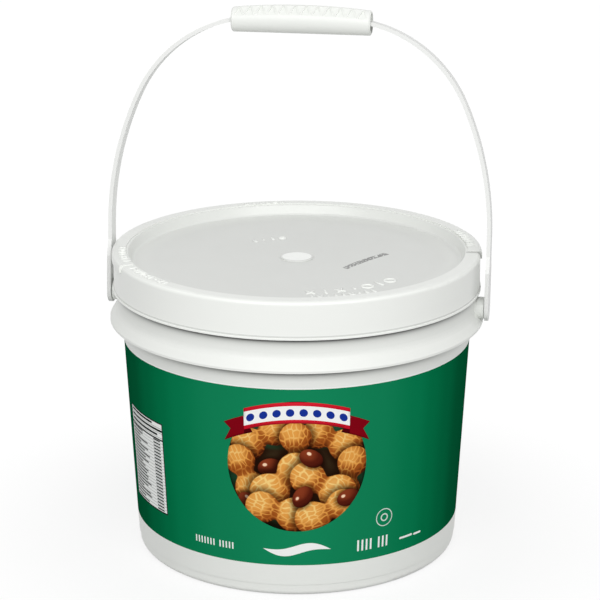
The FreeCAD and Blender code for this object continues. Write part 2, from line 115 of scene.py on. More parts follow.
class Nodes:
    """Adds nodes to one tree and links them."""

    def __init__(self, tree: Tree) -> None:
        """Keeps the material's or group's node tree."""
        self.tree = tree

    def add(
        self,
        kind: str,
        inputs: Union[dict[str | int, "Value"], Sequence["Value"]] = (),
        **settings: object,
    ) -> Node:
        """Adds a node.

        Args:
            kind: the node's class name without its Shader prefix.
            inputs: what its inputs get, in their order, or by name or number.
            settings: attributes to set on it.

        Returns:
            The new node.
        """
        node = self.tree.nodes.new(f"ShaderNode{kind}")
        for name, value in settings.items():
            setattr(node, name, value)
        fed = inputs if isinstance(inputs, dict) else dict(enumerate(inputs))
        for key, value in fed.items():
            self.feed(node.inputs[key], value)
        return node

    def feed(self, socket: Socket, value: Value) -> None:
        """Links a socket, or sets its value.

        Args:
            socket: the input to feed.
            value: an output to link, a number, or a vector or colour.
        """
        if isinstance(value, Number):
            value = value.socket
        if isinstance(value, Socket):
            self.tree.links.new(value, socket)
        elif socket.type == "RGBA":
            socket.default_value = (*value, 1.0)
        elif socket.type == "VECTOR" and not isinstance(value, (int, float)):
            socket.default_value = tuple(value)
        else:
            socket.default_value = value

    def math(self, operation: str, *values: Value, clamp: bool = False) -> Number:
        """One Math node on the values."""
        node = self.add("Math", values, operation=operation, use_clamp=clamp)
        return Number(self, node.outputs[0])

    def vector(self, operation: str, *values: Value) -> Socket:
        """One Vector Math node on the values, for a vector."""
        return self.add("VectorMath", values, operation=operation).outputs["Vector"]

    def scaled(self, vector: Value, scale: Value) -> Socket:
        """A vector or colour times a number."""
        node = self.add("VectorMath", {0: vector, "Scale": scale}, operation="SCALE")
        return node.outputs["Vector"]

    def measure(self, operation: str, *values: Value) -> Number:
        """One Vector Math node for a number: LENGTH, DISTANCE or DOT_PRODUCT."""
        node = self.add("VectorMath", values, operation=operation)
        return Number(self, node.outputs["Value"])

    def joined(self, *parts: Value) -> Socket:
        """Vector of two or three numbers."""
        return self.add("CombineXYZ", parts).outputs[0]

    def split(self, vector: Value) -> tuple[Number, ...]:
        """The three numbers of a vector."""
        node = self.add("SeparateXYZ", [vector])
        return tuple(Number(self, output) for output in node.outputs)

    def between(self, value: Value, low: float, high: float, to: Value = 1.0) -> Number:
        """Smooth step from 0 at low to `to` at high; low may be the larger."""
        inputs = {"Value": value, "From Min": low, "From Max": high, "To Max": to}
        node = self.add("MapRange", inputs, interpolation_type="SMOOTHSTEP")
        return Number(self, node.outputs["Result"])

    def mix(self, factor: Value, below: Value, above: Value) -> Socket:
        """Colour between two colours."""
        inputs = {0: factor, 6: below, 7: above}
        return self.add("Mix", inputs, data_type="RGBA").outputs[2]

    def ramp(self, value: Value, stops: Sequence[tuple[float, Triple]]) -> Socket:
        """Colour from a ramp.

        Args:
            value: place on the ramp.
            stops: its (place, colour) stops.

        Returns:
            The colour there.
        """
        node = self.add("ValToRGB", [value])
        ramp = node.color_ramp
        ramp.interpolation = "EASE"
        while len(ramp.elements) < len(stops):
            ramp.elements.new(0.5)
        for element, (place, colour) in zip(ramp.elements, stops):
            element.position = place
            element.color = (*colour, 1.0)
        return node.outputs[0]

    def noise(self, vector: Value, scale: float, detail: float) -> Number:
        """Value of a noise texture."""
        inputs = {"Vector": vector, "Scale": scale, "Detail": detail}
        return Number(self, self.add("TexNoise", inputs).outputs["Fac"])

    def chance(self, dimensions: str, seed: Value) -> Number:
        """Random number for each whole seed: a number for 1D, a vector for 2D."""
        inputs = {"W" if dimensions == "1D" else "Vector": seed}
        node = self.add("TexWhiteNoise", inputs, noise_dimensions=dimensions)
        return Number(self, node.outputs["Value"])

    def place(self) -> Socket:
        """Place on the object, in metres."""
        return self.add("TexCoord").outputs["Object"]

    def placed(self, vector: Value, centre: Value, turn: Value, size: Value) -> Socket:
        """Coordinates in a frame with its own centre, turn about Z and size."""
        inputs = (vector, centre, self.joined(0.0, 0.0, turn), size)
        return self.add("Mapping", inputs, vector_type="TEXTURE").outputs[0]

    def bump(self, shader: Node, height: Value, depth: float) -> None:
        """Gives a shader a relief whose depth is in metres."""
        node = self.add("Bump", {"Distance": depth, "Height": height})
        self.feed(shader.inputs["Normal"], node.outputs[0])


def new_material(name: str) -> tuple[Material, Nodes, Node]:
    """Makes a material.

    Args:
        name: the material's name.

    Returns:
        The material, its nodes and its shader.
    """
    material = bpy.data.materials.new(name)
    material.use_nodes = True
    tree = material.node_tree
    return material, Nodes(tree), tree.nodes["Principled BSDF"]


class SocketKind(Enum):
    """Kinds of socket that the node groups have."""

    NUMBER = "NodeSocketFloat"
    VECTOR = "NodeSocketVector"
    COLOUR = "NodeSocketColor"


class EffectGroup:
    """A shader node group with named inputs and outputs."""

    def __init__(
        self, name: str, inputs: dict[str, SocketKind], outputs: dict[str, SocketKind]
    ) -> None:
        """Makes the empty group.

        Args:
            name: the group's name.
            inputs: its input sockets.
            outputs: its output sockets.
        """
        self.tree = bpy.data.node_groups.new(name, "ShaderNodeTree")
        for direction, sockets in (("INPUT", inputs), ("OUTPUT", outputs)):
            for label, kind in sockets.items():
                self.tree.interface.new_socket(
                    name=label, in_out=direction, socket_type=kind.value
                )
        self.nodes = Nodes(self.tree)
        self.given = self.tree.nodes.new("NodeGroupInput").outputs
        self.result = self.tree.nodes.new("NodeGroupOutput").inputs

    def give(self, **values: Value) -> Tree:
        """Feeds the outputs by name and returns the finished group."""
        for name, value in values.items():
            self.nodes.feed(self.result[name.capitalize()], value)
        return self.tree


def moulded_surface() -> Tree:
    """Group for moulded plastic: slow drifts of tone, fine grain and flow marks."""
    drift_scale, grain_scale, flow_scale = 9.0, 900.0, 60.0
    flow_stretch, grain_share = (1.0, 1.0, 4.0), 0.25
    inputs = {"Coord": SocketKind.VECTOR, "Drift": SocketKind.NUMBER}
    outputs = dict.fromkeys(("Tone", "Gloss", "Height"), SocketKind.NUMBER)
    made = EffectGroup("moulded_surface", inputs, outputs)
    nodes, coord = made.nodes, made.given["Coord"]
    drift = nodes.noise(coord, drift_scale, 3.0)
    grain = nodes.noise(coord, grain_scale, 2.0)
    flow = nodes.noise(nodes.vector("MULTIPLY", coord, flow_stretch), flow_scale, 4.0)
    tone = (drift - 0.5) * made.given["Drift"] + 1.0
    return made.give(tone=tone, gloss=flow, height=grain * grain_share + flow)


@dataclass(frozen=True)
class PlasticFinish:
    """White moulded plastic.

    Attributes:
        name: the material's name.
        colour: its linear colour.
        roughness: roughness at the middle of its range.
        swing: how much the roughness varies.
        drift: how much the tone varies.
        relief: depth of the surface grain in metres.
    """

    name: str
    colour: Triple
    roughness: float
    swing: float
    drift: float
    relief: float

    def start(self, surface: Tree) -> tuple[Material, Nodes, Node, Socket]:
        """Makes the material.

        Args:
            surface: the moulded surface group.

        Returns:
            The material, its nodes, its shader, and the plastic's own colour.
        """
        material, nodes, shader = new_material(self.name)
        inputs = {"Coord": nodes.place(), "Drift": self.drift}
        moulded = nodes.add("Group", inputs, node_tree=surface).outputs
        colour = nodes.scaled(self.colour, moulded["Tone"])
        gloss = Number(nodes, moulded["Gloss"])
        nodes.feed(shader.inputs["Roughness"], (gloss - 0.5) * self.swing + self.roughness)
        nodes.bump(shader, moulded["Height"], self.relief)
        nodes.feed(shader.inputs["Base Color"], colour)
        return material, nodes, shader, colour

    def build(self, surface: Tree) -> Material:
        """The plain plastic material."""
        return self.start(surface)[0]


@dataclass(frozen=True)
class InkCode:
    """Strip of ink dots sprayed on the lid's panel, in millimetres.

    Attributes:
        middle: place of the strip's middle on the panel.
        turn: angle of the strip in degrees.
        half_length: half of its length.
        rows: number of rows of dots.
        pitch: distance between dots.
        sag: how far the strip bends at its ends.
        blank: share of the dots that are left out.
        dot: radii, in pitches, at which a dot ends and is full.
        ceiling: height under which the ink lies.
        strength: cover of the ink.
        colour: the ink's colour.
    """

    middle: Pair = (50.5, 0.5)
    turn: float = 60.5
    half_length: float = 25.0
    rows: int = 5
    pitch: float = 1.1
    sag: float = 1.5
    blank: float = 0.24
    dot: Pair = (0.66, 0.5)
    ceiling: float = 219.0
    strength: float = 0.85
    colour: Triple = srgb(66, 66, 64)

    def mask(self, nodes: Nodes, place: Socket, up: Number) -> Number:
        """Cover of the ink.

        Args:
            nodes: the lid material's nodes.
            place: place on the panel in millimetres.
            up: height in millimetres.

        Returns:
            The ink's strength on a dot and 0 off it.
        """
        centre = (*self.middle, 0.0)
        local = nodes.placed(place, centre, math.radians(self.turn), (1.0, 1.0, 1.0))
        along, across, _ = nodes.split(local)
        across = across + nodes.math("POWER", along / self.half_length, 2.0) * self.sag
        column, row = along / self.pitch, across / self.pitch + self.rows / 2
        cell = nodes.joined(nodes.math("FLOOR", column), nodes.math("FLOOR", row))
        printed = nodes.chance("2D", cell) > self.blank
        offset = nodes.joined(nodes.math("FRACT", column) - 0.5, nodes.math("FRACT", row) - 0.5)
        dot = nodes.between(nodes.measure("LENGTH", offset), *self.dot)
        inside = abs(along) < self.half_length
        in_rows = abs(across) < self.rows * self.pitch / 2
        return inside * in_rows * dot * printed * ((up < self.ceiling) * self.strength)


class PrintTools:
    """Node groups that draw the printed nuts, each laid out in a frame of its own size."""

    LIGHT = (-0.45, 0.8, 0.0)
    EDGE, HALO = 0.025, 0.5  # half width of an outline, and reach of the shade around it
    BIG_LOBE = ((-0.88, 0.0, 0.0), 1.0)  # middle and radius
    SMALL_LOBE = ((0.92, 0.06, 0.0), 0.9)
    WAIST, LOBE_BLEND = 0.55, 0.7
    NET_SIZE, NET_RANDOM = (2.1, 3.9, 1.0), 0.55
    NET_WANDER, NET_BEND = (1.3, 1.0), 0.5  # scale and detail, and how far it bends
    DIMPLE = (0.03, 0.2, 0.17)  # where it starts and is full, and its depth
    SPOT = ((-0.35, 0.38, 0.0), 0.32, 0.05, 0.45)  # middle, edge, full radius and strength
    SHELL = (
        (0.0, srgb(74, 26, 10)),
        (0.3, srgb(160, 84, 30)),
        (0.55, srgb(228, 158, 74)),
        (0.8, srgb(248, 208, 128)),
        (1.0, srgb(254, 234, 172)),
    )
    SKIN = (
        (0.0, srgb(34, 8, 6)),
        (0.4, srgb(84, 28, 16)),
        (0.75, srgb(142, 62, 34)),
        (1.0, srgb(250, 214, 180)),
    )

    def __init__(self) -> None:
        """Builds the groups."""
        self.shell = self.shelled_nut()
        self.kernel = self.bare_kernel()

    def motif(self, name: str) -> tuple[EffectGroup, Socket]:
        """Empty group for a nut that is laid over the print below it.

        Args:
            name: the group's name.

        Returns:
            The group, and coordinates in the nut's frame.
        """
        number, vector, colour = SocketKind.NUMBER, SocketKind.VECTOR, SocketKind.COLOUR
        inputs = {"Coord": vector, "Under": colour, "Centre": vector}
        inputs |= {"Turn": number, "Size": vector, "Tone": number}
        made = EffectGroup(name, inputs, {"Colour": colour})
        frame_inputs = (made.given[name] for name in ("Coord", "Centre", "Turn", "Size"))
        return made, made.nodes.placed(*frame_inputs)

    def rounded(
        self, made: EffectGroup, edge: Value, slope: Value, lit_share: float, dome_share: float
    ) -> Number:
        """Tone of a rounded form, lit from one side and brighter towards its middle.

        Args:
            made: the nut's group.
            edge: signed distance to the outline, negative inside.
            slope: direction that the surface leans to.
            lit_share: how much the light changes the tone.
            dome_share: how much the middle is brighter.

        Returns:
            The tone, with the nut's own tone in it.
        """
        nodes = made.nodes
        inputs = {"Vector": slope, "Angle": made.given["Turn"]}
        turned = nodes.add("VectorRotate", inputs, rotation_type="Z_AXIS")
        lit = nodes.measure("DOT_PRODUCT", turned.outputs[0], self.LIGHT)
        dome = nodes.math("SQRT", nodes.math("MULTIPLY", edge, -1.0, clamp=True))
        shade = nodes.math("MULTIPLY_ADD", lit, lit_share, made.given["Tone"])
        return nodes.math("MULTIPLY_ADD", dome, dome_share, shade)

    def laid_over(self, made: EffectGroup, edge: Value, colour: Value, shade: float) -> Tree:
        """Finishes a nut: its colour inside the edge, and a soft shade around it.

        Args:
            made: the nut's group.
            edge: signed distance to the outline, negative inside.
            colour: the nut's colour.
            shade: strength of the shade around it.

        Returns:
            The finished group.
        """
        nodes = made.nodes
        inside = nodes.between(edge, self.EDGE, -self.EDGE)
        halo = nodes.between(edge, self.HALO, 0.0) * shade
        darker = nodes.mix(halo, made.given["Under"], srgb(30, 12, 6))
        return made.give(colour=nodes.mix(inside, darker, colour))

    def shelled_nut(self) -> Tree:
        """A peanut in its netted shell: two lobes with a waist."""
        made, local = self.motif("print_shelled_nut")
        nodes = made.nodes
        from_big = nodes.vector("SUBTRACT", local, self.BIG_LOBE[0])
        from_small = nodes.vector("SUBTRACT", local, self.SMALL_LOBE[0])
        big = nodes.measure("LENGTH", from_big) - self.BIG_LOBE[1]
        small = nodes.measure("LENGTH", from_small) - self.SMALL_LOBE[1]
        edge = nodes.math("SMOOTH_MIN", big, small, self.WAIST)
        lobe = nodes.between(big - small, -self.LOBE_BLEND, self.LOBE_BLEND)
        leans = {0: lobe, 4: from_big, 5: from_small}
        slope = nodes.add("Mix", leans, data_type="VECTOR").outputs[1]
        wander = nodes.vector("ADD", local, made.given["Centre"])
        wobble = nodes.noise(wander, *self.NET_WANDER) * self.NET_BEND
        bent = nodes.vector("ADD", local, nodes.joined(0.0, wobble))
        inputs = {"Vector": nodes.vector("MULTIPLY", bent, self.NET_SIZE)}
        inputs |= {"Scale": 1.0, "Randomness": self.NET_RANDOM}
        kind = {"feature": "DISTANCE_TO_EDGE", "voronoi_dimensions": "2D"}
        net = nodes.add("TexVoronoi", inputs, **kind)
        dimple = nodes.between(net.outputs["Distance"], *self.DIMPLE)
        shade = self.rounded(made, edge, slope, 0.33, 0.42)
        shade = nodes.math("SUBTRACT", shade, dimple, clamp=True)
        return self.laid_over(made, edge, nodes.ramp(shade, self.SHELL), 0.75)

    def bare_kernel(self) -> Tree:
        """A kernel in its thin red skin, with a highlight."""
        made, local = self.motif("print_kernel")
        nodes = made.nodes
        edge = nodes.measure("LENGTH", local) - 1.0
        shade = self.rounded(made, edge, local, 0.3, 0.3)
        middle, *fade = self.SPOT
        spot = nodes.between(nodes.measure("DISTANCE", local, middle), *fade)
        shade = nodes.math("ADD", shade, spot, clamp=True)
        return self.laid_over(made, edge, nodes.ramp(shade, self.SKIN), 0.7)


@dataclass(frozen=True)
class Motif:
    """One printed nut: centre on the film in millimetres, turn in degrees, and size."""

    centre: Pair
    turn: float
    size: Pair
    tone: float
    in_shell: bool = True


@dataclass(frozen=True)
class TickRow:
    """Row of short upright strokes on the film, in millimetres.

    Attributes:
        middle: place of the row's middle, along the wall and up.
        half: half of its length and of its height.
        pitch: distance between strokes.
        gap: place and half length of the gap in it.
        share: share of the pitch that a stroke takes.
    """

    middle: Pair
    half: Pair
    pitch: float
    gap: Pair
    share: float = 0.42

    def mask(self, nodes: Nodes, along: Number, up: Number) -> Number:
        """Mask of the row.

        Args:
            nodes: the material's nodes.
            along: place along the wall in millimetres.
            up: height in millimetres.

        Returns:
            1 on a stroke and 0 off it.
        """
        step = nodes.math("FRACT", (along - (self.middle[0] - self.half[0])) / self.pitch)
        inside = nodes.math("COMPARE", along, self.middle[0], self.half[0])
        level = nodes.math("COMPARE", up, self.middle[1], self.half[1])
        solid = 1.0 - nodes.math("COMPARE", along, *self.gap)
        return inside * level * solid * (step < self.share)


@dataclass(frozen=True)
class SmallPrint:
    """The white swash, bars, strokes and seal under the round picture, in millimetres.

    Attributes:
        swash: height of the swash's middle, half of its length and of its thickness.
        wave: length of its wave for each radian, and the wave's rise.
        bars: middle and half size of each bar.
        rows: the rows of strokes.
        seal: middle of the seal.
        rings: radius and half width of each of its two rings.
        seal_ink: strength of the seal's print.
    """

    swash: Triple = (37.0, 25.0, 3.4)
    wave: Pair = (7.6, 2.4)
    bars: tuple[tuple[Pair, Pair], ...] = (
        ((88.0, 35.0), (6.5, 0.8)),
        ((100.0, 34.5), (4.0, 0.8)),
    )
    rows: tuple[TickRow, ...] = (
        TickRow((-63.7, 36.5), (16.4, 2.6), 2.6, (-61.35, 1.2)),
        TickRow((58.6, 36.6), (13.4, 4.3), 3.4, (59.5, 1.3)),
    )
    seal: Pair = (66.8, 55.4)
    rings: tuple[Pair, Pair] = ((6.6, 0.35), (2.6, 0.5))
    seal_ink: float = 0.75

    def bar(self, nodes: Nodes, film: Socket, middle: Pair, half: Pair) -> Number:
        """Mask of a bar with rounded ends.

        Args:
            nodes: the material's nodes.
            film: place on the film.
            middle: the bar's middle.
            half: half of its length and of its height.

        Returns:
            1 on the bar and 0 off it.
        """
        offset = nodes.vector("SUBTRACT", film, (*middle, 0.0))
        across, up, _ = nodes.split(nodes.vector("ABSOLUTE", offset))
        past = nodes.math("MAXIMUM", across - (half[0] - half[1]), 0.0)
        return nodes.measure("LENGTH", nodes.joined(past, up)) < half[1]

    def draw(self, nodes: Nodes, film: Socket, below: Socket) -> Socket:
        """Lays the small print over a colour.

        Args:
            nodes: the material's nodes.
            film: place on the film.
            below: the colour below.

        Returns:
            The colour with the small print on it.
        """
        along, up, _ = nodes.split(film)
        height, half, thickness = self.swash
        wave = nodes.math("SINE", along / self.wave[0])
        middle = nodes.math("MULTIPLY_ADD", wave, self.wave[1], height)
        taper = nodes.math("POWER", along / half, 2.0)
        white = abs(up - middle) < nodes.math("SUBTRACT", 1.0, taper, clamp=True) * thickness
        masks = [self.bar(nodes, film, *bar) for bar in self.bars]
        masks += [row.mask(nodes, along, up) for row in self.rows]
        for mask in masks:
            white = nodes.math("MAXIMUM", white, mask)
        reach = nodes.measure("DISTANCE", film, (*self.seal, 0.0))
        rings = [nodes.math("COMPARE", reach, *ring) for ring in self.rings]
        colour = nodes.mix(white, below, WHITE)
        return nodes.mix(nodes.math("MAXIMUM", *rings) * self.seal_ink, colour, WHITE)


@dataclass(frozen=True)
class FactsPanel:
    """The white panel of ruled rows at the side, with bars in place of words.

    Attributes:
        centre: its middle on the film, in millimetres as all below.
        half: half of its width and of its height.
        border: width of the line around it.
        heading: height above its middle where the heading starts.
        rule: height of the heading's rule and half of its thickness.
        pitch: distance between rows, and what the heading adds to it.
        margin: distance from its middle to the bars' left end.
        bar: least length of a bar, and what chance and the heading add to it.
        column: middle and half width of the right column.
        bar_share: half of the share of a row that a bar fills.
        line_share: distance from a row's middle, in pitches, to its thin line.
        line_ink: strength of the thin lines.
        ink: the print's colour.
    """

    centre: Pair = (-136.5, 81.0)
    half: Pair = (27.0, 36.0)
    border: float = 1.0
    heading: float = 23.0
    rule: Pair = (22.6, 0.6)
    pitch: Pair = (2.5, 1.2)
    margin: float = 24.0
    bar: Triple = (15.0, 16.0, 22.0)
    column: Pair = (18.5, 4.5)
    bar_share: float = 0.22
    line_share: float = 0.43
    line_ink: float = 0.6
    ink: Triple = srgb(34, 40, 38)

    def draw(self, nodes: Nodes, film: Socket, below: Socket) -> Socket:
        """Lays the panel over a colour.

        Args:
            nodes: the material's nodes.
            film: place on the film.
            below: the colour below.

        Returns:
            The colour with the panel on it.
        """
        along, up, _ = nodes.split(nodes.vector("SUBTRACT", film, (*self.centre, 0.0)))
        side, height = abs(along), abs(up)
        wide, high = self.half
        field = (side < wide) * (height < high)
        inner = (side < wide - self.border) * (height < high - self.border)
        heading = up > self.heading
        pitch = nodes.math("MULTIPLY_ADD", heading, self.pitch[1], self.pitch[0])
        row = (up + (high - self.border)) / pitch
        in_row = abs(nodes.math("FRACT", row) - 0.5)
        least, spread, extra = self.bar
        chance = nodes.chance("1D", nodes.math("FLOOR", row))
        length = nodes.math("MULTIPLY_ADD", chance, spread, least)
        length = nodes.math("MULTIPLY_ADD", heading, extra, length)
        left = (along + self.margin < length) * (along > -self.margin)
        right = nodes.math("COMPARE", along, *self.column) * (1.0 - heading)
        words = (in_row < self.bar_share) * nodes.math("MAXIMUM", left, right)
        lines = (in_row > self.line_share) * self.line_ink
        rule = nodes.math("COMPARE", up, *self.rule)
        drawn = nodes.math("MAXIMUM", nodes.math("MAXIMUM", words, lines), rule)
        ink = nodes.math("MAXIMUM", drawn * inner, field - inner)
        return nodes.mix(ink, nodes.mix(field, below, WHITE), self.ink)


@dataclass(frozen=True)
class PrintedFilm:
    """The film's print, laid out in millimetres: s along the wall from the front, z up.

    Attributes:
        wall_radius: mean radius that turns an angle into a length along the wall.
        wall_base: radius of the wall carried down to the floor.
        wall_flare: growth of that radius for each millimetre of height.
        thickness: thickness of a print that lies on the film.
        round_centre: height of the middle of the round picture.
        round_radius: radius of the round picture.
        roughness: roughness of the film.
        swing: how much the roughness varies.
        specular: level of its surface reflection.
        relief: depth of its grain in metres.
        bare_edge: height above which the film is left white.
        ribbon_height: height of the ribbon's middle.
        ribbon_reach: half of the length of its front.
        ribbon_half: half of its front's height.
        ribbon_arch: the larger, the flatter the ribbon's arch.
        field_half: half of the height of its white field.
        bead_pitch: distance between the beads on it.
        bead_radius: radius of a bead.
        tail_inner: where the tails start.
        tail_outer: where their notches end.
        tail_drop: how far the tails lie below the front.
        tail_half: half of a tail's height.
        fold_slant: slant of the fold behind the front's ends.
        notch: slant of the notched ends.
    """

    wall_radius: float = 125.4
    wall_base: float = 120.4
    wall_flare: float = 0.054
    thickness: float = 0.04
    round_centre: float = 101.5
    round_radius: float = 50.0
    roughness: float = 0.5
    swing: float = 0.16
    specular: float = 0.0
    relief: float = 0.00006
    bare_edge: float = 160.4
    ribbon_height: float = 143.0
    ribbon_reach: float = 37.0
    ribbon_half: float = 8.0
    ribbon_arch: float = 210.0
    field_half: float = 5.2
    bead_pitch: float = 9.25
    bead_radius: float = 2.9
    tail_inner: float = 34.0
    tail_outer: float = 47.0
    tail_drop: float = 4.5
    tail_half: float = 7.0
    fold_slant: float = 0.45
    notch: float = 0.7

    CLOUD_SCALE, GRAIN_SCALE = 26.0, 120.0
    ROUND_LIFT, RIBBON_LIFT = 0.05, 0.12  # how far each print stands outside the film
    RIMS = ((-7.0, 41.0, 55.0), (6.0, 42.0, 54.0))  # shift up, start and end of a shade
    HEAP = (39.0, 35.0, 0.95)  # where the heap's shade starts and is full, and its strength
    HEAP_TOP = (20.0, 12.0)  # heights above the middle between which it comes in
    GREENS = (
        (0.0, srgb(21, 134, 90)),
        (0.3, srgb(18, 128, 85)),
        (0.47, srgb(8, 122, 78)),
        (0.55, srgb(4, 114, 71)),
        (0.65, srgb(3, 104, 64)),
        (0.75, srgb(3, 90, 54)),
        (1.0, srgb(2, 80, 48)),
    )
    RED, BRIGHT_RED = srgb(196, 22, 40), srgb(214, 34, 50)
    DARK_RED, FOLD_RED = srgb(128, 8, 22), srgb(78, 4, 14)
    BLUE = srgb(26, 52, 148)
    NUTS = (
        Motif((-25.0, 123.0), 28.0, (12.5, 12.5), 0.30),
        Motif((25.0, 122.0), 152.0, (12.5, 12.5), 0.28),
        Motif((1.0, 113.0), 96.0, (12.5, 12.5), 0.30),
        Motif((-36.0, 94.0), 112.0, (13.0, 13.0), 0.30),
        Motif((37.0, 92.0), 70.0, (13.0, 13.0), 0.28),
        Motif((-19.0, 101.0), 15.0, (8.8, 6.6), 0.30, False),
        Motif((-10.0, 90.0), 42.0, (14.5, 14.5), 0.38),
        Motif((19.0, 87.0), 148.0, (14.0, 14.0), 0.36),
        Motif((-35.0, 73.0), -35.0, (8.6, 6.4), 0.28, False),
        Motif((-13.0, 67.5), 166.0, (13.5, 13.5), 0.36),
        Motif((22.0, 66.0), 22.0, (13.0, 13.0), 0.34),
        Motif((4.0, 78.5), 58.0, (9.0, 6.6), 0.30, False),
        Motif((10.0, 108.0), -30.0, (8.8, 6.6), 0.30, False),
        Motif((37.0, 76.0), 20.0, (8.4, 6.4), 0.30, False),
    )

    def finish(self, name: str, paint: Callable[[Nodes, Socket], Socket]) -> Material:
        """Material of the film, or of a print that lies on it.

        Args:
            name: the material's name.
            paint: draws its colour, given the nodes and the place on the film.

        Returns:
            The finished material.
        """
        material, nodes, shader = new_material(name)
        nodes.feed(shader.inputs["Base Color"], paint(nodes, self.film_place(nodes)))
        place = nodes.place()
        cloud = nodes.noise(place, self.CLOUD_SCALE, 3.0) - 0.5
        rough = nodes.math("MULTIPLY_ADD", cloud, self.swing, self.roughness)
        nodes.feed(shader.inputs["Roughness"], rough)
        shader.inputs["Specular IOR Level"].default_value = self.specular
        nodes.bump(shader, nodes.noise(place, self.GRAIN_SCALE, 3.0), self.relief)
        return material

    def film_place(self, nodes: Nodes) -> Socket:
        """Place on the film, which repeats its front on the far side.

        Args:
            nodes: the material's nodes.

        Returns:
            The place (s, z) in millimetres.
        """
        place = nodes.place()
        right_way = (math.cos(FRONT_TURN), math.sin(FRONT_TURN), 0.0)
        front_way = (math.sin(FRONT_TURN), -math.cos(FRONT_TURN), 0.0)
        right = nodes.measure("DOT_PRODUCT", place, right_way)
        ahead = nodes.measure("DOT_PRODUCT", place, front_way)
        half = math.pi * self.wall_radius / 2
        along = nodes.math("ARCTAN2", right, ahead) * self.wall_radius
        _, _, up = nodes.split(nodes.scaled(place, 1 / MM))
        return nodes.joined(nodes.math("WRAP", along, half, -half), up)

    def front(self, nodes: Nodes, film: Socket) -> Socket:
        """Colour of the film: green, deeper away from its fronts, with its small print.

        Args:
            nodes: the material's nodes.
            film: place on the film.

        Returns:
            The film's colour.
        """
        along, up, _ = nodes.split(film)
        reach = abs(along) / (math.pi * self.wall_radius / 2)
        green = nodes.mix(up > self.bare_edge, nodes.ramp(reach, self.GREENS), WHITE)
        return FactsPanel().draw(nodes, film, SmallPrint().draw(nodes, film, green))

    def round_picture(self, nodes: Nodes, tools: PrintTools, film: Socket) -> Socket:
        """The round window with its heap of peanuts.

        Args:
            nodes: the material's nodes.
            tools: the groups that draw the nuts.
            film: place on the film.

        Returns:
            The picture's colour.
        """
        middle = self.round_centre
        rims = []
        for shift, start, end in self.RIMS:
            reach = nodes.measure("DISTANCE", film, (0.0, middle + shift, 0.0))
            rims.append(nodes.between(reach, start, end))
        shadow = nodes.math("MAXIMUM", *rims)
        picture = nodes.mix(shadow, srgb(26, 136, 92), srgb(2, 24, 13))
        _, up, _ = nodes.split(film)
        heap = nodes.between(nodes.measure("DISTANCE", film, (0.0, middle, 0.0)), *self.HEAP)
        below = nodes.between(up, *(middle + height for height in self.HEAP_TOP))
        picture = nodes.mix(heap * below, picture, srgb(52, 22, 12))
        for nut in self.NUTS:
            tree = tools.shell if nut.in_shell else tools.kernel
            inputs = {"Coord": film, "Under": picture, "Centre": (*nut.centre, 0.0)}
            inputs |= {"Turn": math.radians(nut.turn), "Size": (*nut.size, 1.0)}
            inputs |= {"Tone": nut.tone}
            picture = nodes.add("Group", inputs, node_tree=tree).outputs["Colour"]
        return picture

    def ribbon(self, nodes: Nodes, film: Socket) -> Socket:
        """Colour of the ribbon: white with red borders and blue beads, and red tails.

        Args:
            nodes: the material's nodes.
            film: place on the film.

        Returns:
            The ribbon's colour.
        """
        along, up, _ = nodes.split(film)
        away = abs(along)
        across = up - self.ribbon_height + along * along / self.ribbon_arch
        height = abs(across)
        in_height = height < self.ribbon_half
        in_reach = away < self.ribbon_reach
        front = in_height * in_reach
        edge = nodes.between(away, 0.0, self.ribbon_reach)
        colour = nodes.mix(front, self.DARK_RED, nodes.mix(edge, self.BRIGHT_RED, self.RED))
        colour = nodes.mix(in_reach * (1.0 - in_height), colour, self.FOLD_RED)
        colour = nodes.mix((height < self.field_half) * front, colour, WHITE)
        step = nodes.math("FRACT", along / self.bead_pitch) - 0.5
        bead = nodes.measure("LENGTH", nodes.joined(step * self.bead_pitch, across))
        return nodes.mix((bead < self.bead_radius) * front, colour, self.BLUE)

    def on_wall(self, mesh: Mesh, lift: float) -> None:
        """Wraps a flat mesh, laid out as (s, z) in millimetres, on both sides of the wall.

        Args:
            mesh: the mesh, which becomes two thin closed prints.
            lift: how far the print's face stands outside the film, in millimetres.
        """
        for vert in mesh.verts:
            along, up = vert.co.x, vert.co.y
            angle = along / self.wall_radius + FRONT_TURN
            radius = self.wall_base + self.wall_flare * up + lift
            vert.co = Vector((radius * math.sin(angle), -radius * math.cos(angle), up)) * MM
        mesh.normal_update()
        bmesh.ops.solidify(mesh, geom=mesh.faces, thickness=self.thickness * MM)
        both = mesh.verts[:] + mesh.edges[:] + mesh.faces[:]
        made = bmesh.ops.duplicate(mesh, geom=both)["geom"]
        points = [item for item in made if isinstance(item, bmesh.types.BMVert)]
        half_turn = Matrix.Rotation(math.pi, 3, "Z")
        bmesh.ops.rotate(mesh, cent=(0.0, 0.0, 0.0), matrix=half_turn, verts=points)
        bmesh.ops.recalc_face_normals(mesh, faces=mesh.faces)

    def round_print(self, tools: PrintTools) -> Piece:
        """The round picture as a thin print on the film.

        Args:
            tools: the groups that draw the nuts.

        Returns:
            The print, riding on the container.
        """
        mesh = bmesh.new()
        bmesh.ops.create_grid(mesh, x_segments=60, y_segments=60, size=1.0)
        for vert in mesh.verts:
            x, y = vert.co.x, vert.co.y  # a square, drawn in to a disc
            disc = Vector((x * math.sqrt(1 - y**2 / 2), y * math.sqrt(1 - x**2 / 2), 0.0))
            vert.co = disc * self.round_radius + Vector((0.0, self.round_centre, 0.0))
        self.on_wall(mesh, self.ROUND_LIFT)
        finish = self.finish(
            "round_print", lambda nodes, film: self.round_picture(nodes, tools, film)
        )
        piece = finished_piece("round_print", mesh, finish)
        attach(piece, "container")
        return piece

